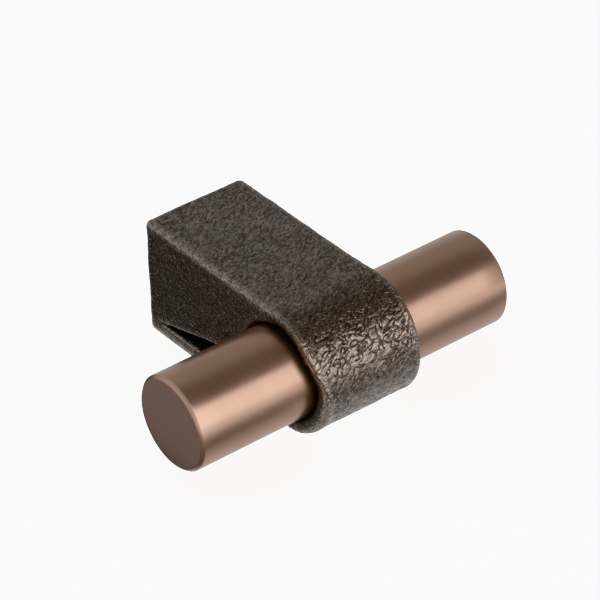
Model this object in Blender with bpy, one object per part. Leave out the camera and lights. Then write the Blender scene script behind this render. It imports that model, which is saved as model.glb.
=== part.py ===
"""Cabinet knob: a round metal bar held across the nose of a strap-shaped cast body.

Frame: metres, +Z up. X runs along the bar and +Y points into the cabinet front.
The origin is under the middle of the knob, at the height of the lower strand's flat face.
"""
import math

import bmesh
import bpy
from mathutils import Matrix, Vector

# Bar
BAR_DIAMETER = 0.014
BAR_LENGTH = 0.0531
BAR_CHAMFER = 0.0005
BAR_CLEARANCE = 0.0003

# Cast body, seen from the side as a strap that is wrapped round the bar
BODY_WIDTH = 0.0170
BAR_STANDOFF = 0.0299
STRAP_WALL = 0.00185
NOSE_WALL = 0.0022
BACK_CORNER_RADIUS = 0.0008

# Roundings of the strap's long edges: soft behind the bar, tighter round the nose and inside
EDGE_RADIUS = 0.0009
NOSE_EDGE_RADIUS = 0.00045
INNER_EDGE_RADIUS = 0.0004

# Wedge-shaped slot between the lower strand and the web above it
STRAND_BUILD_UP = 0.00035
SLOT_ANGLE = math.radians(15.0)
SLOT_APEX_FROM_BACK = 0.0022
SLOT_END_RADIUS = 0.00012
WEB_TIP_RADIUS = 0.0011

# Tapped hole for the screw through the cabinet front, and the narrower one behind it
MOUNT_THREAD = 0.004
MOUNT_THREAD_DEPTH = 0.0125
MOUTH_CHAMFER = 0.0004
GRUB_THREAD = 0.003

# Grub screw that locks the bar
GRUB_LENGTH = 0.006
GRUB_CLEARANCE = 0.0003
GRUB_CHAMFER = 0.0003
GRUB_SOCKET_FLATS = 0.0013
GRUB_SOCKET_DEPTH = 0.0015

# Fineness of the facets
NOSE_STEPS = 32
BORE_STEPS = 48
STRAIGHT_STEPS = 8
CORNER_STEPS = 5
RIM_STEPS = 3
BAR_SIDES = 72
HOLE_SIDES = 32
HEX_SIDES = 6
SHARP_ANGLE = math.radians(32.0)

# Sizes and places that follow from those above
BAR_RADIUS = BAR_DIAMETER / 2
BORE_RADIUS = BAR_RADIUS + BAR_CLEARANCE
HALF_HEIGHT = BORE_RADIUS + STRAP_WALL
NOSE_REACH = BORE_RADIUS + NOSE_WALL
DEPTH = BAR_STANDOFF + NOSE_REACH
BACK_Y = DEPTH / 2
BAR_Y = BACK_Y - BAR_STANDOFF
BAR_Z = HALF_HEIGHT
BAR_CENTRE = Vector((0, BAR_Y, BAR_Z))

# How far a cutter runs past the face it cuts through
CUT_OVERRUN = 0.001

ALONG_X = Matrix.Rotation(math.radians(90.0), 4, "Y")
ALONG_Y = Matrix.Rotation(math.radians(-90.0), 4, "X")
QUARTER_TURN = math.pi / 2
FULL_TURN = 2 * math.pi


def clear_scene():
    for obj in list(bpy.data.objects):
        bpy.data.objects.remove(obj, do_unlink=True)


def material(name, colour, roughness, metallic):
    mat = bpy.data.materials.new(name)
    mat.use_nodes = True
    shader = mat.node_tree.nodes["Principled BSDF"]
    shader.inputs["Base Color"].default_value = (*colour, 1.0)
    shader.inputs["Roughness"].default_value = roughness
    shader.inputs["Metallic"].default_value = metallic
    return mat


def add_object(name, bm, mat=None):
    bmesh.ops.recalc_face_normals(bm, faces=bm.faces)
    mesh = bpy.data.meshes.new(name)
    bm.to_mesh(mesh)
    bm.free()
    mesh.shade_smooth()
    mesh.set_sharp_from_angle(angle=SHARP_ANGLE)
    obj = bpy.data.objects.new(name, mesh)
    bpy.context.scene.collection.objects.link(obj)
    if mat:
        mesh.materials.append(mat)
    return obj


def cut(obj, cutter):
    """Cut one object by another, which stays hidden in the scene."""
    cutter.hide_render = True
    cutter.display_type = "WIRE"
    modifier = obj.modifiers.new("cut_" + cutter.name, "BOOLEAN")
    modifier.operation = "DIFFERENCE"
    modifier.solver = "EXACT"
    modifier.object = cutter


def arc(centre, radius_y, radius_z, start, end, steps):
    """Points (y, z) on an arc of an ellipse, both ends included."""
    points = []
    for i in range(steps + 1):
        angle = start + (end - start) * i / steps
        points.append(Vector((centre[0] + radius_y * math.cos(angle), centre[1] + radius_z * math.sin(angle))))
    return points


def between(start, end, steps):
    """Evenly spaced points on a straight line, both ends left out."""
    return [start.lerp(end, i / steps) for i in range(1, steps)]


def strap_outline():
    """The strap's outer outline in the YZ plane, anticlockwise with +Y to the right."""
    corner = BACK_CORNER_RADIUS
    corner_y = BACK_Y - corner
    nose = arc((BAR_Y, BAR_Z), NOSE_REACH, HALF_HEIGHT, QUARTER_TURN, 3 * QUARTER_TURN, NOSE_STEPS)
    lower = arc((corner_y, corner), corner, corner, -QUARTER_TURN, 0, CORNER_STEPS)
    upper = arc((corner_y, 2 * HALF_HEIGHT - corner), corner, corner, 0, QUARTER_TURN, CORNER_STEPS)
    lower_strand = between(nose[-1], lower[0], STRAIGHT_STEPS)
    upper_strand = between(upper[-1], nose[0], STRAIGHT_STEPS)
    return nose + lower_strand + lower + upper + upper_strand


def strap_edge_radii(outline):
    """The rounding at each point: it tightens from the bore's back to the bar's axis."""
    radii = []
    for y, _ in outline:
        share = min(max((y - BAR_Y) / BORE_RADIUS, 0), 1)
        smooth = share * share * (3 - 2 * share)
        radii.append(NOSE_EDGE_RADIUS + (EDGE_RADIUS - NOSE_EDGE_RADIUS) * smooth)
    return radii


def slot_outline():
    """The bore for the bar and the wedge slot that opens into it, clockwise, as one hole."""
    floor_drop = BORE_RADIUS - STRAND_BUILD_UP
    apex = Vector((BAR_STANDOFF - SLOT_APEX_FROM_BACK, -floor_drop))
    uphill = Vector((-math.cos(SLOT_ANGLE), math.sin(SLOT_ANGLE)))
    into_web = Vector((math.sin(SLOT_ANGLE), math.cos(SLOT_ANGLE)))

    # The web's tip is a fillet that touches the slot's ceiling and the bore
    start = apex + WEB_TIP_RADIUS * into_web
    reach = BORE_RADIUS + WEB_TIP_RADIUS
    back_off = start.dot(uphill)
    along = -back_off - math.sqrt(back_off ** 2 - start.dot(start) + reach ** 2)
    tip_centre = start + along * uphill
    tip_on_bore = math.atan2(tip_centre.y, tip_centre.x)
    tip_on_ceiling = math.atan2(-into_web.y, -into_web.x)

    # The closed end is a small fillet between the floor and the ceiling
    end_centre = apex + SLOT_END_RADIUS * Vector((-1 / math.tan(SLOT_ANGLE / 2), 1))
    end_on_ceiling = math.atan2(into_web.y, into_web.x)

    floor_on_bore = -math.asin(floor_drop / BORE_RADIUS)
    bore = arc((0, 0), BORE_RADIUS, BORE_RADIUS, floor_on_bore, tip_on_bore - FULL_TURN, BORE_STEPS)
    tip = arc(tip_centre, WEB_TIP_RADIUS, WEB_TIP_RADIUS, tip_on_bore + math.pi,
              tip_on_ceiling + FULL_TURN, CORNER_STEPS)
    end = arc(end_centre, SLOT_END_RADIUS, SLOT_END_RADIUS, end_on_ceiling, -QUARTER_TURN, CORNER_STEPS)
    return [point + Vector((BAR_Y, BAR_Z)) for point in bore + tip[1:] + end]


def into_material(outline, insets):
    """Move each point of a closed outline into the material on its left, with mitred corners."""
    moved = []
    count = len(outline)
    for i, point in enumerate(outline):
        before = (point - outline[i - 1]).normalized()
        after = (outline[(i + 1) % count] - point).normalized()
        mitre = Vector((-before.y - after.y, before.x + after.x))
        moved.append(point + mitre * (2 * insets[i] / mitre.dot(mitre)))
    return moved


def rounded_layer(bm, outline, radii, side, angle):
    """One ring of points at an angle round the rim: 0 is on the side face, a quarter turn on the wall."""
    points = into_material(outline, [radius * (1 - math.sin(angle)) for radius in radii])
    layer = []
    for (y, z), radius in zip(points, radii):
        x = side * (BODY_WIDTH / 2 - radius * (1 - math.cos(angle)))
        layer.append(bm.verts.new((x, y, z)))
    return layer


def rounded_prism(name, outlines_and_radii, mat):
    """Extrude outlines over the body's width, with their rims rounded on both sides."""
    bm = bmesh.new()
    side_edges = ([], [])
    angles = [QUARTER_TURN * step / RIM_STEPS for step in range(RIM_STEPS + 1)]
    for outline, radii in outlines_and_radii:
        layers = [rounded_layer(bm, outline, radii, -1, angle) for angle in angles]
        layers += [rounded_layer(bm, outline, radii, 1, angle) for angle in reversed(angles)]
        for near, far in zip(layers, layers[1:]):
            for i in range(len(near)):
                bm.faces.new((near[i - 1], near[i], far[i], far[i - 1]))
        for side, layer in zip(side_edges, (layers[0], layers[-1])):
            for i in range(len(layer)):
                side.append(bm.edges.get((layer[i - 1], layer[i])))
    for edges in side_edges:
        bmesh.ops.triangle_fill(bm, edges=edges, use_beauty=True)
    return add_object(name, bm, mat)


def rod(name, diameter, length, sides, turn, place, mat=None, chamfer=0.0):
    """A round or many-sided rod about its own middle, turned and then placed."""
    bm = bmesh.new()
    radius = diameter / 2
    bmesh.ops.create_cone(bm, cap_ends=True, segments=sides, radius1=radius, radius2=radius, depth=length)
    if chamfer:
        rims = [edge for edge in bm.edges if any(len(face.verts) == sides for face in edge.link_faces)]
        bmesh.ops.bevel(bm, geom=rims, offset=chamfer, segments=1, affect="EDGES", clamp_overlap=False)
    bmesh.ops.transform(bm, matrix=turn, verts=bm.verts)
    obj = add_object(name, bm, mat)
    obj.location = place
    return obj


def hole_cutter(name, diameter, front_y, back_y):
    """A round cutter on the screw's axis, from front_y to back_y."""
    middle = Vector((0, (front_y + back_y) / 2, BAR_Z))
    return rod(name, diameter, back_y - front_y, HOLE_SIDES, ALONG_Y, middle)


def mouth_cutter():
    """A cone that widens the mouth of the tapped hole at 45 degrees."""
    bm = bmesh.new()
    depth = 2 * MOUTH_CHAMFER
    hole_radius = MOUNT_THREAD / 2
    bmesh.ops.create_cone(bm, cap_ends=True, segments=HOLE_SIDES, radius1=hole_radius,
                          radius2=hole_radius + depth, depth=depth)
    bmesh.ops.transform(bm, matrix=ALONG_Y, verts=bm.verts)
    cutter = add_object("mouth_cutter", bm)
    cutter.location = (0, BACK_Y, BAR_Z)
    return cutter


def make_body(mat):
    strap = strap_outline()
    slot = slot_outline()
    slot_radii = [INNER_EDGE_RADIUS] * len(slot)
    body = rounded_prism("cast_body", [(strap, strap_edge_radii(strap)), (slot, slot_radii)], mat)
    thread_end = BACK_Y - MOUNT_THREAD_DEPTH
    cut(body, hole_cutter("mount_thread_cutter", MOUNT_THREAD, thread_end, BACK_Y + CUT_OVERRUN))
    cut(body, hole_cutter("grub_thread_cutter", GRUB_THREAD, BAR_Y, thread_end + CUT_OVERRUN))
    cut(body, mouth_cutter())
    return body


def make_bar(mat):
    return rod("bar", BAR_DIAMETER, BAR_LENGTH, BAR_SIDES, ALONG_X, BAR_CENTRE, mat, BAR_CHAMFER)


def make_grub_screw(mat):
    """The screw's point stands off the bar by the clearance, and its socket faces the back."""
    point_y = BAR_Y + BAR_RADIUS + GRUB_CLEARANCE
    head_y = point_y + GRUB_LENGTH
    middle = Vector((0, (point_y + head_y) / 2, BAR_Z))
    diameter = GRUB_THREAD - 2 * GRUB_CLEARANCE
    grub = rod("grub_screw", diameter, GRUB_LENGTH, HOLE_SIDES, ALONG_Y, middle, mat, GRUB_CHAMFER)

    across_corners = GRUB_SOCKET_FLATS / math.cos(math.pi / HEX_SIDES)
    socket_length = GRUB_SOCKET_DEPTH + CUT_OVERRUN
    socket_place = Vector((0, head_y - GRUB_SOCKET_DEPTH + socket_length / 2, BAR_Z))
    cut(grub, rod("grub_socket_cutter", across_corners, socket_length, HEX_SIDES, ALONG_Y, socket_place))
    return grub


def main():
    clear_scene()
    dark_bronze = material("dark_bronze", (0.10, 0.078, 0.065), 0.45, 0.9)
    satin_bronze = material("satin_bronze", (0.50, 0.32, 0.24), 0.32, 1.0)
    screw_steel = material("screw_steel", (0.35, 0.35, 0.36), 0.4, 1.0)
    make_body(dark_bronze)
    make_bar(satin_bronze)
    make_grub_screw(screw_steel)


main()
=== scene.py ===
# %% [markdown]
# # A cabinet knob, dressed for its photograph
#
# The knob is a satin bronze bar in a dark cast body that looks like a leather strap.
# Its solids come ready made, at their real size. This lesson gives them their surfaces: the
# grain of the casting, the fine satin of the bar, the ground back and the threads behind it.

# %% Load the solids
import math

import bmesh
import bpy
import numpy as np
from mathutils import Matrix, Vector


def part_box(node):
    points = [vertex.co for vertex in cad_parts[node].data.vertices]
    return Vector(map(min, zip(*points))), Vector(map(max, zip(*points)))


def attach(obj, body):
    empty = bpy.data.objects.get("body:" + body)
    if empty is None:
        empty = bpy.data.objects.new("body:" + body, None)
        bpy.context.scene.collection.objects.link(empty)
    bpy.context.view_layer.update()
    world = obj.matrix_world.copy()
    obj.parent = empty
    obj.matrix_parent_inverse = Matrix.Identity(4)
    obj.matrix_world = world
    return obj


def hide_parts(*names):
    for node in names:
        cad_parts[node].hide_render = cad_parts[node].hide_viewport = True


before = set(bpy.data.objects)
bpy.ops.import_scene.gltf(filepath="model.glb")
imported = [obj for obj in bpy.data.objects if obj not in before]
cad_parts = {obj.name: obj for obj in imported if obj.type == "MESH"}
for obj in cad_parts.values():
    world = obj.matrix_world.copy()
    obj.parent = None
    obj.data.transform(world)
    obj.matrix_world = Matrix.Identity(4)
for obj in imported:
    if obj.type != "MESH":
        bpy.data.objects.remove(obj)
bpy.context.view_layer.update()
print("solids:", sorted(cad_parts))

# %% [markdown]
# ## Sizes that the solids give
#
# A piece that is dressed here has to sit exactly where its solid is. So this file measures
# the solids instead of repeating their sizes: the bar's box gives its axis and radius, and
# the body's box gives the strap's width and the mounting face behind it.

# %% Measure the solids
body_low, body_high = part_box("cast_body")
bar_low, bar_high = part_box("bar")
grub_low, grub_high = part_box("grub_screw")

bar_radius = (bar_high.z - bar_low.z) / 2
bar_centre = (bar_low + bar_high) / 2
bar_half_length = (bar_high.x - bar_low.x) / 2
strap_half_width = (body_high.x - body_low.x) / 2
back_y = body_high.y
print(f"bar radius {bar_radius * 1000:.2f} mm, strap {strap_half_width * 2000:.1f} mm wide")

# %% [markdown]
# ## The camera
#
# The photograph was taken through a long lens from the left and above, so lines that are
# parallel on the knob stay nearly parallel in the picture. The camera's place is given from
# the middle of the bar. Its three angles are azimuth, elevation and the picture's small tilt.

# %% Place the camera
camera_from_bar = Vector((-0.23303, -0.30051, 0.27896))
camera_azimuth = math.radians(-37.257)
camera_elevation = math.radians(35.461)
camera_roll = math.radians(-1.727)

camera_data = bpy.data.cameras.new("camera")
camera_data.lens = 208.69
camera_data.sensor_width = 36.0
camera_data.clip_start = 0.01
camera_data.clip_end = 20.0
camera = bpy.data.objects.new("camera", camera_data)
turn = (Matrix.Rotation(camera_azimuth, 4, "Z")
        @ Matrix.Rotation(math.pi / 2 - camera_elevation, 4, "X")
        @ Matrix.Rotation(camera_roll, 4, "Z"))
camera.matrix_world = Matrix.Translation(bar_centre + camera_from_bar) @ turn
bpy.context.scene.collection.objects.link(camera)
bpy.context.scene.camera = camera

# %% [markdown]
# The view transform turns light into the picture's colours. This one keeps a product's own
# colours, deepens the darks a little and lets highlights fade to white, as the photo does.

# %% Choose the view transform
bpy.context.scene.view_settings.view_transform = "Khronos PBR Neutral"

# %% [markdown]
# ## Node helpers
#
# A material is a graph of nodes. These short helpers keep the cells below readable:
# each adds one node, gives its inputs a value or a link, and hands back its output socket.

# %% Helpers for node graphs
def add_node(tree, kind, values=None, **settings):
    """Add a node, set its properties, and give its inputs a value or a link."""
    node = tree.nodes.new(kind)
    for key, value in settings.items():
        setattr(node, key, value)
    for key, value in (values or {}).items():
        if isinstance(value, bpy.types.NodeSocket):
            tree.links.new(value, node.inputs[key])
        else:
            node.inputs[key].default_value = value
    return node


def calc(tree, operation, *values, clamp=False):
    """One step of arithmetic."""
    inputs = dict(enumerate(values))
    node = add_node(tree, "ShaderNodeMath", inputs, operation=operation, use_clamp=clamp)
    return node.outputs["Value"]


def scaled(tree, vector, factor):
    inputs = {0: vector, "Scale": factor}
    return add_node(tree, "ShaderNodeVectorMath", inputs, operation="SCALE").outputs["Vector"]


def in_millimetres(tree, point):
    return scaled(tree, point, 1000.0)


def vector_calc(tree, operation, first, second):
    """One step of arithmetic on vectors. A dot product comes out as a number."""
    node = add_node(tree, "ShaderNodeVectorMath", {0: first, 1: second}, operation=operation)
    return node.outputs["Value" if operation == "DOT_PRODUCT" else "Vector"]


def ramp(tree, value, low, high, to_low=0.0, to_high=1.0):
    """A smooth step: to_low below low, to_high above high."""
    inputs = {"Value": value, "From Min": low, "From Max": high,
              "To Min": to_low, "To Max": to_high}
    node = add_node(tree, "ShaderNodeMapRange", inputs, interpolation_type="SMOOTHSTEP")
    return node.outputs["Result"]


def noise(tree, point, scale, detail=2.0, roughness=0.5):
    """Smooth noise between 0 and 1. With a point in millimetres, 1 / scale is its grain in mm."""
    inputs = {"Vector": point, "Scale": scale, "Detail": detail, "Roughness": roughness}
    return add_node(tree, "ShaderNodeTexNoise", inputs)


def blend_colours(tree, share, first, second):
    """The first colour at share 0, the second at share 1."""
    node = add_node(tree, "ShaderNodeMix", {0: share, 6: first, 7: second}, data_type="RGBA")
    return node.outputs[2]


def grey(tree, value):
    """A colour with one value in all three channels."""
    return add_node(tree, "ShaderNodeCombineColor", {0: value, 1: value, 2: value}).outputs["Color"]


def new_group(name, kind, inputs, outputs):
    """An empty node group with named sockets. Returns the tree, its inputs and its output node."""
    tree = bpy.data.node_groups.new(name, kind)
    for label, socket_kind, value in inputs:
        socket = tree.interface.new_socket(label, in_out="INPUT", socket_type=socket_kind)
        if value is not None:
            socket.default_value = value
    for label, socket_kind in outputs:
        tree.interface.new_socket(label, in_out="OUTPUT", socket_type=socket_kind)
    return tree, tree.nodes.new("NodeGroupInput").outputs, tree.nodes.new("NodeGroupOutput")


def use_group(tree, group, values):
    """Place a node group in a tree and return its outputs."""
    kind = "ShaderNodeGroup" if tree.type == "SHADER" else "GeometryNodeGroup"
    node = tree.nodes.new(kind)
    node.node_tree = group
    for key, value in values.items():
        if isinstance(value, bpy.types.NodeSocket):
            tree.links.new(value, node.inputs[key])
        else:
            node.inputs[key].default_value = value
    return node.outputs


# %% [markdown]
# ## The grain
#
# Leather grain is a field of small flat plateaus with fine winding creases between them. It
# could be sculpted or taken from a picture. Here it is made from noise, because then it wraps
# round every edge without a seam. Smooth noise crosses its own middle value along winding
# lines, so its distance from that value, cut off early, is a field of plateaus and creases.
# The knob has deep creases only on its nose, where a strap would be bent; the flat sides show
# fine slanted strokes instead. So the group has an input for the creases' depth.
# A second noise bends the space first, and a third one tilts the plateaus. Geometry nodes and
# shader nodes have the same textures, so one function builds the grain for both: once to move
# the mesh, once to shade what is finer than the mesh.

# %% Build the grain for both kinds of node tree
grain_slant = Vector((0.90, 0.31, 0.30)).normalized()
grain_stretch = 0.40
stroke_stretch = 0.74
swirl_reach = 1.3
wide_scale = 1.15
small_scale = 2.3
crease_width = 0.080


def build_grain(kind):
    """Height moves the mesh, Fine is the bump on top of it, Crease is 0 along the creases."""
    tree, given, result = new_group(
        "leather_grain_" + kind[:4].lower(), kind,
        [("Point", "NodeSocketVector", None), ("Plateau Size", "NodeSocketFloat", 1.0),
         ("Creases", "NodeSocketFloat", 1.0)],
        [("Height", "NodeSocketFloat"), ("Fine", "NodeSocketFloat"),
         ("Crease", "NodeSocketFloat"), ("Strokes", "NodeSocketFloat")])
    size = calc(tree, "DIVIDE", 1000.0, given["Plateau Size"])
    even = scaled(tree, given["Point"], size)
    along = vector_calc(tree, "DOT_PRODUCT", even, grain_slant)

    def drawn_out(share):
        """The point with its textures drawn out along the slant."""
        squeeze = calc(tree, "MULTIPLY", along, -share)
        return vector_calc(tree, "ADD", even, scaled(tree, grain_slant, squeeze))

    point = drawn_out(grain_stretch)
    swirl = noise(tree, point, 0.8, 1.0, 0.5).outputs["Color"]
    swirl = vector_calc(tree, "ADD", swirl, (-0.5, -0.5, -0.5))
    bent = vector_calc(tree, "ADD", point, scaled(tree, swirl, swirl_reach))

    def creases(scale):
        """1 on the plateaus, and lower along the lines where the noise is at its middle value."""
        middle = calc(tree, "SUBTRACT", noise(tree, bent, scale, 1.0, 0.4).outputs["Fac"], 0.5)
        cut = ramp(tree, calc(tree, "ABSOLUTE", middle), 0.0, crease_width, 1.0, 0.0)
        return calc(tree, "SUBTRACT", 1.0, calc(tree, "MULTIPLY", cut, given["Creases"]))

    wide = creases(wide_scale)
    small = creases(small_scale)
    patch = ramp(tree, noise(tree, point, 0.55, 1.0).outputs["Fac"], 0.40, 0.60, 0.15, 0.70)
    small = calc(tree, "MAXIMUM", small, patch)
    tilt = noise(tree, bent, 1.3, 2.0, 0.6).outputs["Fac"]
    strokes = noise(tree, drawn_out(stroke_stretch), 3.4, 2.0, 0.6).outputs["Fac"]

    height = calc(tree, "MULTIPLY", wide, 0.45)
    height = calc(tree, "MULTIPLY_ADD", tilt, 0.35, height, clamp=True)
    fine = calc(tree, "MULTIPLY", small, 0.40)
    fine = calc(tree, "MULTIPLY_ADD", wide, 1.05, fine)
    fine = calc(tree, "MULTIPLY_ADD", strokes, 0.55, fine)
    tree.links.new(height, result.inputs["Height"])
    tree.links.new(fine, result.inputs["Fine"])
    tree.links.new(calc(tree, "MULTIPLY", wide, small), result.inputs["Crease"])
    tree.links.new(ramp(tree, strokes, 0.40, 0.62), result.inputs["Strokes"])
    return tree


grain_for_mesh = build_grain("GeometryNodeTree")
grain_for_shader = build_grain("ShaderNodeTree")
print("grain nodes:", len(grain_for_shader.nodes))

# %% [markdown]
# ## The cast body
#
# The solid has the right form, but its surface is smooth and its facets are long. A voxel
# remesh gives it an even net of small faces, fine enough to carry the grain as real shape.
# The voxel is as small as it can be while the piece stays under 200,000 triangles.

# %% Make the even mesh
body_voxel = 0.000225


def apply_modifiers(piece):
    """Make the modifiers' result the piece's own mesh."""
    graph = bpy.context.evaluated_depsgraph_get()
    mesh = bpy.data.meshes.new_from_object(piece.evaluated_get(graph))
    piece.modifiers.clear()
    piece.data = mesh


def read_points(mesh):
    flat = np.empty(len(mesh.vertices) * 3)
    mesh.vertices.foreach_get("co", flat)
    return flat.reshape(-1, 3)


def write_points(mesh, points):
    mesh.vertices.foreach_set("co", points.ravel())
    mesh.update()


def print_triangles(piece):
    print(piece.name, "triangles:", sum(len(face.vertices) - 2 for face in piece.data.polygons))


body = bpy.data.objects.new("strap_body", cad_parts["cast_body"].data.copy())
bpy.context.scene.collection.objects.link(body)
weld = body.modifiers.new("weld", "WELD")
weld.merge_threshold = 0.00001
remesh = body.modifiers.new("even_mesh", "REMESH")
remesh.mode = "VOXEL"
remesh.voxel_size = body_voxel
remesh.use_smooth_shade = True
soften = body.modifiers.new("soften", "SMOOTH")
soften.factor = 0.5
soften.iterations = 1
apply_modifiers(body)
print_triangles(body)

# %% [markdown]
# The solids keep a gap of 0.3 mm between bar and bore. On the knob the strap sits closer, so
# the bore's wall is drawn in towards the bar. The pull fades out over the strap's thickness.

# %% Draw the bore in to the bar
bore_gap = 0.0003
bore_play = 0.00008
pull_reach = 0.0010


def smooth_step(values, low, high):
    """0 below low, 1 above high, and smooth in between."""
    share = np.clip((values - low) / (high - low), 0.0, 1.0)
    return share * share * (3.0 - 2.0 * share)


points = read_points(body.data)
from_axis = points[:, 1:] - np.array([bar_centre.y, bar_centre.z])
to_bar = np.linalg.norm(from_axis, axis=1) - bar_radius
pull = (bore_gap - bore_play) * (1.0 - smooth_step(to_bar, bore_gap, bore_gap + pull_reach))
points[:, 1:] -= from_axis * (pull / (to_bar + bar_radius))[:, None]
write_points(body.data, points)
to_bar = to_bar - pull
print(f"least play round the bar: {to_bar.min() * 1000:.3f} mm")

# %% [markdown]
# In the photograph the strap's near side leans in where it turns under the bar, as a real
# strap would. The points there slide along the bar: not at all at the top, most at the nose
# and below, and less and less back along the lower strand and towards the strap's middle.
# Places round the bar are given as an angle: 0 at the nose, 90 at the top, -90 below.

# %% Lean the near side in
lean = 0.00085
lean_below = 0.60
lean_back = 0.010
lean_depth = 0.0055

behind_y = points[:, 1] - bar_centre.y
above_z = points[:, 2] - bar_centre.z
wrap_angle = np.degrees(np.arctan2(above_z, -behind_y))
# What lies behind the bar and below it counts as the top, so it neither leans nor wears.
wrap_angle = np.where(wrap_angle < -120.0, 90.0, wrap_angle)
lean_share = 1.0 - smooth_step(wrap_angle, 0.0, 45.0)
lean_share *= lean_below + (1.0 - lean_below) * smooth_step(wrap_angle, -75.0, -20.0)
lean_share *= 1.0 - smooth_step(behind_y, 0.001, lean_back)
lean_share *= smooth_step(-points[:, 0], strap_half_width - lean_depth, strap_half_width - 0.0008)
points[:, 0] += lean * lean_share
write_points(body.data, points)
print(f"points that lean in: {100 * (lean_share > 0.1).mean():.0f}%")

# %% [markdown]
# Where is the grain deep, where does the patina wear, and where was the back ground? Each
# answer is a number between 0 and 1 at each point of the mesh. Blender calls such numbers
# attributes, and both geometry nodes and shader nodes can read them.

# %% Helpers for attributes
def set_attribute(mesh, name, values):
    attribute = mesh.attributes.new(name, "FLOAT", "POINT")
    attribute.data.foreach_set("value", values.astype(np.float32))


def smoothed(mesh, values, rounds):
    """Values (or places) averaged over the neighbours of each point, some rounds long."""
    ends = np.empty(len(mesh.edges) * 2, dtype=np.int32)
    mesh.edges.foreach_get("vertices", ends)
    first, second = ends[0::2], ends[1::2]
    count = np.bincount(ends, minlength=len(values))[:, None]
    for _ in range(rounds):
        total = np.empty_like(values)
        for axis in range(values.shape[1]):
            total[:, axis] = np.bincount(first, values[second, axis], len(values))
            total[:, axis] += np.bincount(second, values[first, axis], len(values))
        values = total / count
    return values


# %% [markdown]
# An edge is found without knowing the form: where a copy of the mesh is smoothed a few times,
# its edges sink, and how far a point sinks says how sharply the surface bends there. Lower
# down, where the slot's edges are finer, a smaller bend counts already.

# %% Mark the rims
rim_rounds = 24
rim_bend = 0.000045
rim_bend_less = 0.30

normals = np.empty(len(body.data.vertices) * 3)
body.data.vertices.foreach_get("normal", normals)
normals = normals.reshape(-1, 3)
sink = points - smoothed(body.data, points, rim_rounds)
bend = (sink * normals).sum(axis=1)
# Lower down the rims are drawn wider, so that the lighter worn colour also paints light lines along
# the slot's edges.
rim_start = rim_bend * (1.0 - rim_bend_less * smooth_step(-above_z, 0.0, 0.003))
on_rim = smooth_step(bend / rim_start, 1.0, 3.3)
set_attribute(body.data, "rim", on_rim)
print(f"rim on {100 * (on_rim > 0.5).mean():.0f}% of the points")

# %% [markdown]
# Shade is painted into the gap beside the bar: the bore and the strap's edge round it are made
# nearly black and a little cold, standing in for the strap's shadow and hiding the bar's warm
# reflection there. It reaches further out where the strap comes over the bar, and part of the
# way over the front of the strap's face round the bar. The narrow face that looks along the bar
# is painted grey to cancel the bar's warm reflection on it, which is the second attribute.

# %% Mark what is close to the bar
crevice_reach = 0.0008
crevice_reach_up = 0.0010
end_shade_share = 0.45

up_front = smooth_step(above_z, -0.002, 0.003) * (1.0 - smooth_step(behind_y, -0.001, 0.002))
reach = crevice_reach + crevice_reach_up * up_front
# Painted shade: the bore and the strap's edge round the bar are made nearly black and a little cold.
painted_crevice_shade = 1.0 - smooth_step(to_bar, reach * 0.5, reach)
# Painted shade at part strength over the front of the strap's face round the bar.
end_shade = 1.0 - smooth_step(to_bar, 0.0011, 0.0018)
end_shade *= 1.0 - smooth_step(behind_y, 0.0, 0.003)
painted_crevice_shade = np.maximum(painted_crevice_shade, end_shade_share * end_shade)
# Painted grey with less lacquer where the strap's face looks along the bar, to cancel the bar's warm
# reflection.
facing_bar = 1.0 - smooth_step(to_bar, 0.0014, 0.0022)
facing_bar *= smooth_step(np.abs(normals[:, 0]), 0.15, 0.60)
facing_bar *= 1.0 - smooth_step(behind_y, 0.001, 0.004)
set_attribute(body.data, "crevice_shade", painted_crevice_shade)
set_attribute(body.data, "facing_bar", facing_bar)

# %% [markdown]
# The nose is where hands touch the knob, and where the softbox's highlight falls. Its
# plateaus get a lighter, warmer tone: wear by hands, and a painted highlight. Its creases are
# the deepest. Just above it a darker band is painted shade, for the dark overhead that this
# band reflects. The ground back has neither grain nor patina, and the bore has no grain, so
# that the bar still fits.

# %% Mark the nose and the ground back
creased_flat = 0.62
creased_nose = 0.20
ground_depth = 0.00006

# The nose band: lighter, warmer plateaus, partly worn by hands and partly a painted highlight.
on_nose = smooth_step(wrap_angle, 3.0, 30.0) * (1.0 - smooth_step(wrap_angle, 50.0, 68.0))
# Painted shade: a darker band just above the nose stands in for the dark overhead it reflects.
shade_band_above_nose = smooth_step(wrap_angle, 48.0, 60.0) * (1.0 - smooth_step(wrap_angle, 78.0, 96.0))
on_back = 1.0 - smooth_step(back_y - points[:, 1], ground_depth, ground_depth + 0.0003)
grain_share = smooth_step(to_bar, 0.0003, 0.0010) * (1.0 - on_back)
set_attribute(body.data, "rubbed_and_lit", on_nose)
set_attribute(body.data, "painted_shade_above_nose", shade_band_above_nose)
set_attribute(body.data, "creased", creased_flat + creased_nose * on_nose)
set_attribute(body.data, "ground", on_back)
set_attribute(body.data, "grain_share", grain_share)
print(f"nose on {100 * (on_nose > 0.5).mean():.0f}% of the points")

# %% [markdown]
# Smoothing has rounded the edges a little too much, and the nose in the photograph is fuller
# than the solid's. Both are mended by moving the points out along their normals.

# %% Fill out the rims and the nose
rim_fill = 0.00008
nose_fill = 0.00013

fill = rim_fill * on_rim + nose_fill * smooth_step(-behind_y, 0.0, 0.006)
points += normals * (fill * grain_share)[:, None]
body.data.vertices.foreach_set("co", points.ravel())
print(f"most fill: {(fill * grain_share).max() * 1000:.2f} mm")

# %% [markdown]
# Now the grain moves the mesh. Set Position shifts each point along its normal: out on the
# plateaus and in at the creases, by a tenth of a millimetre or so. A slow noise adds the
# slight lumps of a casting. The heights are balanced about zero, so the body keeps its size.

# %% Press the grain into the mesh
plateau_size = 0.95
grain_depth = 0.00020
lump_depth = 0.00022
lump_scale = 0.22
height_middle = 0.55


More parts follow.
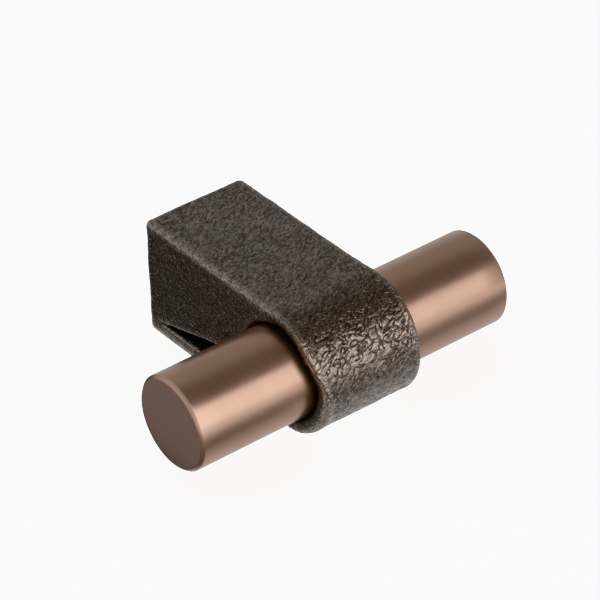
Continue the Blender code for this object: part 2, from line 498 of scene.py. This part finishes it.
def build_grain_press():
    socket = ("Geometry", "NodeSocketGeometry")
    tree, given, result = new_group("press_grain", "GeometryNodeTree", [socket + (None,)], [socket])

    def named(name):
        return add_node(tree, "GeometryNodeInputNamedAttribute", {"Name": name}).outputs["Attribute"]

    point = tree.nodes.new("GeometryNodeInputPosition").outputs["Position"]
    normal = tree.nodes.new("GeometryNodeInputNormal").outputs["Normal"]
    values = {"Point": point, "Plateau Size": plateau_size, "Creases": named("creased")}
    grain = use_group(tree, grain_for_mesh, values)
    lumps = noise(tree, in_millimetres(tree, point), lump_scale, 1.0).outputs["Fac"]
    shift = calc(tree, "SUBTRACT", grain["Height"], height_middle)
    shift = calc(tree, "MULTIPLY", shift, grain_depth)
    lump = calc(tree, "MULTIPLY", calc(tree, "SUBTRACT", lumps, 0.5), lump_depth)
    shift = calc(tree, "MULTIPLY", calc(tree, "ADD", shift, lump), named("grain_share"))
    inputs = {"Geometry": given["Geometry"], "Offset": scaled(tree, normal, shift)}
    moved = add_node(tree, "GeometryNodeSetPosition", inputs)
    tree.links.new(moved.outputs["Geometry"], result.inputs["Geometry"])
    return tree


press = body.modifiers.new("press_grain", "NODES")
press.node_group = build_grain_press()
apply_modifiers(body)
body.data.shade_smooth()
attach(body, "root")
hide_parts("cast_body")
grained = read_points(body.data)
print("grained box in mm:", (grained.min(0) * 1000).round(2), (grained.max(0) * 1000).round(2))

# %% [markdown]
# ## Edge wear, a shared effect
#
# Hands and cloths rub the finish off the edges first. The rim attribute says where an edge
# is, and noise breaks it up, so the wear comes in patches. Body, bar and screw all use it, so
# it is a node group with its own inputs.

# %% Build the edge wear group
def build_edge_wear():
    tree, given, result = new_group(
        "edge_wear", "ShaderNodeTree",
        [("Point", "NodeSocketVector", None), ("Rim", "NodeSocketFloat", 0.0),
         ("Amount", "NodeSocketFloat", 0.5), ("Patch Size", "NodeSocketFloat", 1.0)],
        [("Wear", "NodeSocketFloat")])
    point = scaled(tree, given["Point"], calc(tree, "DIVIDE", 1000.0, given["Patch Size"]))
    patches = noise(tree, point, 1.0, 3.0, 0.6).outputs["Fac"]
    edge = calc(tree, "MULTIPLY", given["Rim"], ramp(tree, patches, 0.30, 0.62, 0.35, 1.0))
    tree.links.new(calc(tree, "MULTIPLY", edge, given["Amount"], clamp=True), result.inputs["Wear"])
    return tree


edge_wear = build_edge_wear()

# %% [markdown]
# ## Material helpers
#
# Every material here starts from the same shader, reads the attributes of its piece, and ends
# with a faint bump. These few lines do what they all need.

# %% Material helpers
def principled(name):
    material = bpy.data.materials.new(name)
    material.use_nodes = True
    tree = material.node_tree
    return material, tree, tree.nodes["Principled BSDF"]


def object_point(tree):
    return tree.nodes.new("ShaderNodeTexCoord").outputs["Object"]


def read_attribute(tree, name):
    return add_node(tree, "ShaderNodeAttribute", attribute_name=name).outputs["Fac"]


def worn_rims(tree, point, amount, patch_size):
    """How far the finish is gone at each place: the wear group, fed with the piece's rims."""
    values = {"Point": point, "Rim": read_attribute(tree, "rim"), "Amount": amount,
              "Patch Size": patch_size}
    return use_group(tree, edge_wear, values)["Wear"]


def set_constants(shader, **values):
    """Set the shader's own sockets: coat_roughness=0.2 sets the socket Coat Roughness."""
    for key, value in values.items():
        label = key.replace("_", " ").title().replace("Ior", "IOR")
        shader.inputs[label].default_value = value


def add_bump(tree, shader, height, distance):
    """Shade the surface as if it were raised by the distance where the height is 1."""
    inputs = {"Height": height, "Strength": 1.0, "Distance": distance}
    bump = add_node(tree, "ShaderNodeBump", inputs)
    tree.links.new(bump.outputs["Normal"], shader.inputs["Normal"])


# %% [markdown]
# ## The dark bronze finish
#
# The casting is bronze under a dark patina and a thin clear lacquer. On metal the base colour
# is the colour of its reflections, so the patina is a dark brown-grey metal, darker in the
# creases and lighter on worn edges, where the lighter colour also paints the edges' highlights.
# Some colours here are painted light and shade: a lighter, warmer nose, a dark band above it, a
# nearly black gap round the bar and a grey face beside it. The lacquer is the shader's coat: it
# adds the pale sheen at grazing angles. It is thin on the worn nose and missing where the strap
# looks along the bar. Much of the contrast comes from the relief, and the colours help it.

# %% Body material
plateau_colour = (0.372, 0.306, 0.258, 1.0)
stroke_colour = (0.165, 0.136, 0.115, 1.0)
crease_colour = (0.075, 0.059, 0.050, 1.0)
# Lighter worn edges: real edge wear, and a painted highlight along the ridges and the slot's edges:
worn_and_highlit_edge_colour = (0.52, 0.45, 0.39, 1.0)
# Painted shade for the gap beside the bar, nearly black and a little cold:
crevice_shade_colour = (0.014, 0.018, 0.022, 1.0)
# Painted grey that cancels the bar's warm reflection on the face beside it:
reflection_cancel_grey = (0.150, 0.147, 0.143, 1.0)
# Lighter, warmer nose: wear by hands and a painted highlight:
rubbed_and_highlight_colour = (0.465, 0.342, 0.264, 1.0)
ground_colour = (0.36, 0.285, 0.23, 1.0)
body_edge_wear_and_highlight = 0.5
most_stain = 0.22
# How dark the painted shade band above the nose gets:
most_painted_shade_above_nose = 0.24
most_rubbed_and_highlight = 0.62
most_reflection_cancel = 0.6
grinding_marks = (350.0, 0.0, 9000.0)
grinding_relief = 0.08
crease_roughness = 0.46
plateau_roughness = 0.21
crevice_roughness = 0.3
shade_band_coat_loss = 0.35
rubbed_coat_loss = 0.6
grain_bump = 0.00012


def build_body_material():
    material, tree, shader = principled("dark_bronze_grain")
    point = object_point(tree)
    values = {"Point": point, "Plateau Size": plateau_size, "Creases": read_attribute(tree, "creased")}
    grain = use_group(tree, grain_for_shader, values)
    # The edge wear here is partly real and partly a painted highlight along the body's edges.
    wear = worn_rims(tree, point, body_edge_wear_and_highlight, 0.8)
    crevice_shade = read_attribute(tree, "crevice_shade")
    painted_shade_above_nose = read_attribute(tree, "painted_shade_above_nose")
    facing = read_attribute(tree, "facing_bar")
    ground = read_attribute(tree, "ground")
    plateau_top = ramp(tree, grain["Crease"], 0.4, 1.0)
    rubbed_and_lit = calc(tree, "MULTIPLY", read_attribute(tree, "rubbed_and_lit"), plateau_top)

    colour = blend_colours(tree, grain["Strokes"], stroke_colour, plateau_colour)
    colour = blend_colours(tree, ramp(tree, grain["Crease"], 0.0, 0.7), crease_colour, colour)
    stain = noise(tree, in_millimetres(tree, point), 0.45, 3.0).outputs["Fac"]
    colour = blend_colours(tree, ramp(tree, stain, 0.35, 0.7, 0.0, most_stain), colour, crease_colour)
    # Lighter edges: wear, and a painted highlight along the ridges and the slot's edges.
    colour = blend_colours(tree, wear, colour, worn_and_highlit_edge_colour)
    # Painted shade: a darker band above the nose, with less lacquer, for the dark overhead it
    # reflects.
    colour = blend_colours(tree, calc(tree, "MULTIPLY", painted_shade_above_nose, most_painted_shade_above_nose), colour, crease_colour)
    # Lighter, warmer nose plateaus: wear by hands, and a painted highlight where the softbox's
    # highlight falls.
    colour = blend_colours(tree, calc(tree, "MULTIPLY", rubbed_and_lit, most_rubbed_and_highlight), colour, rubbed_and_highlight_colour)
    # Painted grey over the bar's warm reflection on the face that looks along the bar.
    colour = blend_colours(tree, calc(tree, "MULTIPLY", facing, most_reflection_cancel), colour, reflection_cancel_grey)
    # Painted shade in the gap beside the bar, which also hides the bar's warm reflection there.
    colour = blend_colours(tree, crevice_shade, colour, crevice_shade_colour)
    grind = vector_calc(tree, "MULTIPLY", point, grinding_marks)
    marks = noise(tree, grind, 1.0, 2.0).outputs["Fac"]
    bare = calc(tree, "MULTIPLY", ground, ramp(tree, marks, 0.3, 0.7, 0.75, 0.95))
    colour = blend_colours(tree, bare, colour, ground_colour)
    tree.links.new(colour, shader.inputs["Base Color"])

    rough = ramp(tree, grain["Crease"], 0.1, 0.9, crease_roughness, plateau_roughness)
    rough = calc(tree, "MULTIPLY_ADD", crevice_shade, crevice_roughness, rough)
    tree.links.new(rough, shader.inputs["Roughness"])
    coat = calc(tree, "SUBTRACT", ramp(tree, grain["Crease"], 0.0, 0.8, 0.5, 1.0), facing)
    coat = calc(tree, "MULTIPLY_ADD", painted_shade_above_nose, -shade_band_coat_loss, coat)
    coat = calc(tree, "MULTIPLY_ADD", rubbed_and_lit, -rubbed_coat_loss, coat, clamp=True)
    tree.links.new(coat, shader.inputs["Coat Weight"])
    set_constants(shader, metallic=1.0, coat_roughness=0.20, coat_ior=1.5)

    relief = calc(tree, "MULTIPLY", grain["Fine"], calc(tree, "SUBTRACT", 1.0, ground))
    ground_marks = calc(tree, "MULTIPLY", marks, ground)
    relief = calc(tree, "MULTIPLY_ADD", ground_marks, grinding_relief, relief)
    add_bump(tree, shader, relief, grain_bump)
    return material


body.data.materials.clear()
body.data.materials.append(build_body_material())

# %% [markdown]
# ## Turned pieces
#
# The bar and the screw are turned, so each is a stack of rings round one axis. One helper
# makes them all from a list of heights and radii. A radius can be a function of the angle, so
# a thread is no more than a radius that changes with the angle and the height.

# %% Helper for turned pieces
def turned(name, rings, sides, placement, smooth_angle=30.0):
    """A closed piece from rings of (height, radius). A radius can be a function of the angle."""
    bm = bmesh.new()
    made = []
    for height, radius in rings:
        if radius == 0:
            made.append([bm.verts.new((0, 0, height))])
            continue
        ring = []
        for i in range(sides):
            angle = 2 * math.pi * i / sides
            reach = radius(angle) if callable(radius) else radius
            ring.append(bm.verts.new((reach * math.cos(angle), reach * math.sin(angle), height)))
        made.append(ring)
    for lower, upper in zip(made, made[1:]):
        for i in range(sides):
            j = (i + 1) % sides
            corners = [lower[i % len(lower)], lower[j % len(lower)],
                       upper[j % len(upper)], upper[i % len(upper)]]
            bm.faces.new(list(dict.fromkeys(corners)))
    if len(made[0]) > 1:
        for i in range(sides):
            j = (i + 1) % sides
            bm.faces.new((made[-1][i], made[-1][j], made[0][j], made[0][i]))
    bmesh.ops.recalc_face_normals(bm, faces=bm.faces)
    bmesh.ops.transform(bm, matrix=placement, verts=bm.verts)
    mesh = bpy.data.meshes.new(name)
    bm.to_mesh(mesh)
    bm.free()
    mesh.shade_smooth()
    mesh.set_sharp_from_angle(angle=math.radians(smooth_angle))
    piece = bpy.data.objects.new(name, mesh)
    bpy.context.scene.collection.objects.link(piece)
    return piece


# %% [markdown]
# ## The bar
#
# The bar is turned from rod and blasted to an even satin. The solid has flat sides that would
# show in the highlight, so it is turned again with many more. Real chamfers have no knife
# edges either: a tiny rounding on both sides of each gives the light a line to catch.

# %% Turn the bar
bar_chamfer = 0.0005
bar_break = 0.00010
bar_sides = 256


def bar_half():
    """The bar's profile from the middle of one end face to the barrel: (height, radius)."""
    face = bar_half_length
    shoulder = face - bar_chamfer
    inner = bar_radius - bar_chamfer
    most, half_way, soft = bar_break * 0.7, bar_break * 0.35, bar_break * 0.29
    return [(face, 0), (face, inner * 0.4), (face, inner * 0.8), (face, inner - bar_break),
            (face - soft * 0.4, inner - half_way), (face - most, inner + most - soft * 0.2),
            (shoulder + most, bar_radius - most - soft * 0.2),
            (shoulder - half_way, bar_radius - soft * 0.4),
            (shoulder - bar_break, bar_radius), (face - 0.004, bar_radius)]


half = bar_half()
profile = [(-height, radius) for height, radius in half] + list(reversed(half))
bar_turn = Matrix.Translation(bar_centre) @ Matrix.Rotation(math.pi / 2, 4, "Y")
bar = turned("turned_bar", profile, bar_sides, bar_turn)
points = read_points(bar.data)
end_depth = bar_half_length - np.abs(points[:, 0])
wall_depth = bar_radius - np.hypot(points[:, 1] - bar_centre.y, points[:, 2] - bar_centre.z)
rim_reach = bar_chamfer + 2 * bar_break
set_attribute(bar.data, "turned_end_sheen", (end_depth < 0.00005).astype(float))
set_attribute(bar.data, "rim", ((end_depth < rim_reach) & (wall_depth < rim_reach)).astype(float))
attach(bar, "root")
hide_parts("bar")
print_triangles(bar)

# %% [markdown]
# The satin is a fine even blasting: far finer than a pixel, so roughness carries it, and a
# faint bump keeps close views alive. The end faces are paler and greyer: partly their bare
# turned finish, partly a painted grey sheen. The worn edge of each chamfer is paler too.

# %% Bar material
bronze_colour = (0.56, 0.372, 0.285, 1.0)
bronze_end_and_sheen = (0.67, 0.48, 0.40, 1.0)
bronze_cloud = (0.50, 0.33, 0.25, 1.0)
bronze_worn = (0.66, 0.46, 0.36, 1.0)
bar_wear = 0.3
blast_bump = 0.0000025


def build_bar_material():
    material, tree, shader = principled("satin_bronze")
    point = object_point(tree)
    wear = worn_rims(tree, point, bar_wear, 2.5)
    cloud = noise(tree, in_millimetres(tree, point), 0.25, 3.0).outputs["Fac"]
    shade = blend_colours(tree, ramp(tree, cloud, 0.3, 0.7, 0.0, 0.10), bronze_colour, bronze_cloud)
    # Paler, greyer end faces: their turned finish, and a painted grey sheen.
    shade = blend_colours(tree, read_attribute(tree, "turned_end_sheen"), shade, bronze_end_and_sheen)
    tree.links.new(blend_colours(tree, wear, shade, bronze_worn), shader.inputs["Base Color"])
    tree.links.new(ramp(tree, cloud, 0.3, 0.7, 0.285, 0.315), shader.inputs["Roughness"])
    set_constants(shader, metallic=1.0, coat_weight=0.45, coat_roughness=0.24, coat_ior=1.3)
    blast = noise(tree, in_millimetres(tree, point), 9.0, 2.0).outputs["Fac"]
    add_bump(tree, shader, blast, blast_bump)
    return material


bar.data.materials.append(build_bar_material())

# %% [markdown]
# ## The thread behind the mounting face
#
# A machine screw comes through the door and holds the knob by a thread in its back. The solid
# has a plain hole there. A thread is one groove that climbs by its pitch in each turn: its
# radius depends on the height less the share of a turn. The sleeve below lines the hole.

# %% Cut the mounting thread
mount_radius = 0.002
mount_pitch = 0.0007
mount_depth = 0.0125
mouth_chamfer = 0.0004
thread_height = 0.00036
thread_sides = 64


def thread_wave(height, angle, pitch):
    """0 at the root and 1 at the crest of a thread, with flats on both."""
    turn_share = (height / pitch - angle / (2 * math.pi)) % 1.0
    slope = abs(turn_share - 0.5) * 2.0
    return min(max((slope - 0.12) / 0.72, 0.0), 1.0)


def mount_ring(height):
    """One ring of the thread: height is the depth behind the mounting face."""
    open_mouth = min(max((height - mouth_chamfer) / mount_pitch, 0.0), 1.0)
    crest = thread_height * open_mouth
    root = mount_radius - 0.00003
    return lambda angle: root - crest * thread_wave(height, angle, mount_pitch)


heights = np.arange(mouth_chamfer, mount_depth, mount_pitch / 10)
outside = mount_radius + 0.0001
rings = [(height, mount_ring(height)) for height in heights]
rings += [(heights[-1], outside), (heights[0], outside)]
mouth = Matrix.Translation((bar_centre.x, back_y, bar_centre.z))
into_back = mouth @ Matrix.Rotation(math.pi / 2, 4, "X")
thread = turned("mount_thread", rings, thread_sides, into_back, 50.0)
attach(thread, "root")
print_triangles(thread)

# %% [markdown]
# A tap cuts through the patina, so the thread shows bare bronze, darkened a little by oil.

# %% Thread material
tapped_colour = (0.42, 0.30, 0.21, 1.0)
oiled_colour = (0.22, 0.16, 0.12, 1.0)


def build_thread_material():
    material, tree, shader = principled("tapped_bronze")
    oil = noise(tree, in_millimetres(tree, object_point(tree)), 1.2, 3.0).outputs["Fac"]
    colour = blend_colours(tree, ramp(tree, oil, 0.35, 0.65), tapped_colour, oiled_colour)
    tree.links.new(colour, shader.inputs["Base Color"])
    tree.links.new(ramp(tree, oil, 0.3, 0.7, 0.28, 0.45), shader.inputs["Roughness"])
    set_constants(shader, metallic=1.0)
    add_bump(tree, shader, oil, 0.00001)
    return material


thread.data.materials.append(build_thread_material())

# %% [markdown]
# ## The grub screw
#
# Deep in the same hole a grub screw locks the bar. It is turned with the same helper: a cup
# point that bites the bar, a thread, a chamfered head and a hex socket. A hexagon is a ring
# whose radius grows towards its corners.

# %% Turn the grub screw
grub_radius = (grub_high.x - grub_low.x) / 2
grub_length = grub_high.y - grub_low.y
grub_pitch = 0.0005
grub_thread_height = 0.00024
grub_chamfer = 0.0003
cup_depth = 0.0003
socket_half_flats = 0.00065
socket_depth = 0.0015
socket_break = 0.00008
drill_point = 0.0004
grub_sides = 48


def hexagon(half_flats):
    """The radius of a hexagon at an angle."""
    sector = math.pi / 3
    return lambda angle: half_flats / math.cos((angle % sector) - sector / 2)


def grub_ring(height):
    """One ring of the screw's thread, which fades out at both chamfers."""
    from_end = min(height, grub_length - height)
    taper = max(grub_chamfer - from_end, 0.0)
    groove = grub_thread_height * min(from_end / grub_chamfer, 1.0)
    return lambda angle: grub_radius - taper - groove * (1 - thread_wave(height, angle, grub_pitch))


rings = [(cup_depth, 0), (0.0, grub_radius * 0.55)]
rings += [(height, grub_ring(height)) for height in np.arange(0.0, grub_length, grub_pitch / 8)]
rings += [(grub_length, grub_radius - grub_chamfer),
          (grub_length, hexagon(socket_half_flats + socket_break)),
          (grub_length - socket_break, hexagon(socket_half_flats)),
          (grub_length - socket_depth, hexagon(socket_half_flats)),
          (grub_length - socket_depth - drill_point, 0)]
cup = Matrix.Translation((bar_centre.x, grub_low.y, bar_centre.z))
grub_turn = cup @ Matrix.Rotation(-math.pi / 2, 4, "X")
grub = turned("grub_screw_threaded", rings, grub_sides, grub_turn, 35.0)
points = read_points(grub.data)
set_attribute(grub.data, "rim", (points[:, 1] > grub_high.y - grub_chamfer).astype(float))
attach(grub, "root")
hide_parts("grub_screw")
print_triangles(grub)

# %% [markdown]
# Grub screws are blackened steel: dark, slightly glossy, and brighter at the rubbed edges.

# %% Screw material
steel_dark = (0.20, 0.20, 0.21, 1.0)
steel_light = (0.33, 0.33, 0.34, 1.0)
steel_worn = (0.52, 0.52, 0.53, 1.0)


def build_steel_material():
    material, tree, shader = principled("blackened_steel")
    point = object_point(tree)
    oxide = noise(tree, in_millimetres(tree, point), 2.0, 3.0).outputs["Fac"]
    colour = blend_colours(tree, ramp(tree, oxide, 0.3, 0.7), steel_dark, steel_light)
    colour = blend_colours(tree, worn_rims(tree, point, 0.6, 0.5), colour, steel_worn)
    tree.links.new(colour, shader.inputs["Base Color"])
    tree.links.new(ramp(tree, oxide, 0.3, 0.7, 0.32, 0.46), shader.inputs["Roughness"])
    set_constants(shader, metallic=1.0)
    add_bump(tree, shader, oxide, 0.000006)
    return material


grub.data.materials.append(build_steel_material())

# %% [markdown]
# ## The floor
#
# The knob lies on plain pale paper that the camera sees as nearly white. A metal shows what
# it reflects, and in the photograph the knob reflects a much greyer floor: brighter under the
# bar and the strap, far in front, behind the bar's far half and past its near end. So the
# paper's own glow differs for the camera's rays and for light that bounces, and Light Path
# tells them apart. Seen from below the paper is clear, so the underside can be looked at too.

# %% Draw the floor's glow
glow_base = 0.10
glow_under = 0.36
glow_far = 0.66
glow_past_end = 0.075
glow_behind = 0.30
front_direction = (0.10, -0.995, 0.0)
# The strap's patch of the floor slides to the right in front, as its mirror image does.
strap_slide = 0.33


def build_glow(tree, point):
    """How bright each place of the floor is in the knob's reflections."""
    front = vector_calc(tree, "DOT_PRODUCT", point, front_direction)
    far = ramp(tree, front, 0.016, 0.090, 0.0, glow_far)
    place = add_node(tree, "ShaderNodeSeparateXYZ", {0: point}).outputs
    near_end = -bar_half_length
    axis = bar_centre.y

    under_bar = ramp(tree, place["Y"], axis - 0.022, axis - 0.006)
    past_bar = ramp(tree, place["Y"], axis, axis + 0.008, 1.0, 0.0)
    beside_end = ramp(tree, place["X"], near_end - 0.0015, near_end + 0.0005)
    under_bar = calc(tree, "MULTIPLY", calc(tree, "MULTIPLY", under_bar, past_bar), beside_end)

    before_bar = calc(tree, "MINIMUM", calc(tree, "SUBTRACT", place["Y"], axis), 0.0)
    beside = calc(tree, "ABSOLUTE", calc(tree, "MULTIPLY_ADD", before_bar, strap_slide, place["X"]))
    under_strap = ramp(tree, beside, strap_half_width + 0.0004, strap_half_width + 0.0024, 1.0, 0.0)
    close = ramp(tree, place["Y"], axis - 0.024, axis - 0.013)
    under_strap = calc(tree, "MULTIPLY", under_strap, close)

    past_end = ramp(tree, place["X"], near_end - 0.006, near_end, glow_past_end, 0.0)
    behind = ramp(tree, place["Y"], 0.0, 0.014, 0.0, glow_behind)
    far_half = ramp(tree, place["X"], strap_half_width, strap_half_width + 0.012)
    behind = calc(tree, "MULTIPLY", behind, far_half)
    under = calc(tree, "MULTIPLY", calc(tree, "MAXIMUM", under_bar, under_strap), glow_under)
    glow = calc(tree, "ADD", calc(tree, "ADD", under, far), calc(tree, "ADD", past_end, glow_base))
    return calc(tree, "ADD", glow, behind)


# %% [markdown]
# The floor is one large square, with its edges far outside the picture. It lies just below
# the lowest point of the grained body.

# %% Lay the floor
floor_white = (0.95, 0.95, 0.95, 1.0)
floor_strength = 1.4
floor_half_size = 4.0
black = (0.0, 0.0, 0.0, 1.0)
white = (1.0, 1.0, 1.0, 1.0)


def build_floor():
    bm = bmesh.new()
    bmesh.ops.create_grid(bm, x_segments=1, y_segments=1, size=floor_half_size)
    mesh = bpy.data.meshes.new("paper_floor")
    bm.to_mesh(mesh)
    bm.free()
    floor = bpy.data.objects.new("paper_floor", mesh)
    floor.location = (0, 0, grained[:, 2].min() - 0.00001)
    bpy.context.scene.collection.objects.link(floor)
    material, tree, shader = principled("pale_paper")
    seen = tree.nodes.new("ShaderNodeLightPath").outputs["Is Camera Ray"]
    tree.links.new(blend_colours(tree, seen, black, floor_white), shader.inputs["Base Color"])
    glow = grey(tree, build_glow(tree, object_point(tree)))
    tree.links.new(blend_colours(tree, seen, glow, white), shader.inputs["Emission Color"])
    below = tree.nodes.new("ShaderNodeNewGeometry").outputs["Backfacing"]
    tree.links.new(calc(tree, "SUBTRACT", 1.0, below), shader.inputs["Alpha"])
    set_constants(shader, roughness=0.9, specular_ior_level=0.0, emission_strength=floor_strength)
    mesh.materials.append(material)


build_floor()

# %% [markdown]
# ## The light
#
# The highlight on the bar is the picture of one large softbox, in front and a little above:
# its upper edge stands about 51 degrees up, its lower edge just above the table, and its
# right end fades just past the bar's far half. One rectangular area light does that.

# %% Hang the softbox
key_azimuth = math.radians(-7.0)
key_elevation = math.radians(26.6)
key_distance = 1.2
key_width = 2.2
key_height = 1.11
key_radiance = 1.46


def softbox(name, azimuth, elevation, distance, width, height, radiance):
    """A rectangular light that faces the knob. Azimuth 0 is in front, positive to the right."""
    flat = math.cos(elevation)
    towards = Vector((flat * math.sin(azimuth), -flat * math.cos(azimuth), math.sin(elevation)))
    light = bpy.data.lights.new(name, "AREA")
    light.shape = "RECTANGLE"
    light.size = width
    light.size_y = height
    light.energy = radiance * math.pi * width * height
    lamp = bpy.data.objects.new(name, light)
    lamp.location = bar_centre + towards * distance
    lamp.rotation_mode = "QUATERNION"
    lamp.rotation_quaternion = towards.to_track_quat("Z", "Y")
    bpy.context.scene.collection.objects.link(lamp)


softbox("front_softbox", key_azimuth, key_elevation, key_distance, key_width, key_height, key_radiance)

# %% [markdown]
# Everything else is dim studio: lighter on the left and low behind the knob, darker overhead.
# That is a world whose brightness follows the direction. The camera itself sees it as white.

# %% Dim the studio
studio_middle = 0.506
studio_to_right = -0.193
overhead_share = 0.50
behind_direction = (0.49, 0.87, 0.0)
behind_light = 0.12
studio_seen = (2.0, 2.0, 2.0, 1.0)


def build_world():
    world = bpy.data.worlds.new("studio")
    world.use_nodes = True
    bpy.context.scene.world = world
    tree = world.node_tree
    direction = tree.nodes.new("ShaderNodeTexCoord").outputs["Generated"]
    axes = add_node(tree, "ShaderNodeSeparateXYZ", {0: direction}).outputs
    side = calc(tree, "MULTIPLY_ADD", axes["X"], studio_to_right, studio_middle)
    height = calc(tree, "MULTIPLY_ADD", axes["Y"], -0.5, axes["Z"])
    overhead = ramp(tree, height, 0.5, 0.95, 1.0, overhead_share)
    dim = calc(tree, "MULTIPLY", side, overhead)
    behind = vector_calc(tree, "DOT_PRODUCT", direction, behind_direction)
    dim = calc(tree, "ADD", dim, ramp(tree, behind, 0.90, 1.0, 0.0, behind_light))
    seen = tree.nodes.new("ShaderNodeLightPath").outputs["Is Camera Ray"]
    colour = blend_colours(tree, seen, grey(tree, dim), studio_seen)
    tree.links.new(colour, tree.nodes["Background"].inputs["Color"])


build_world()
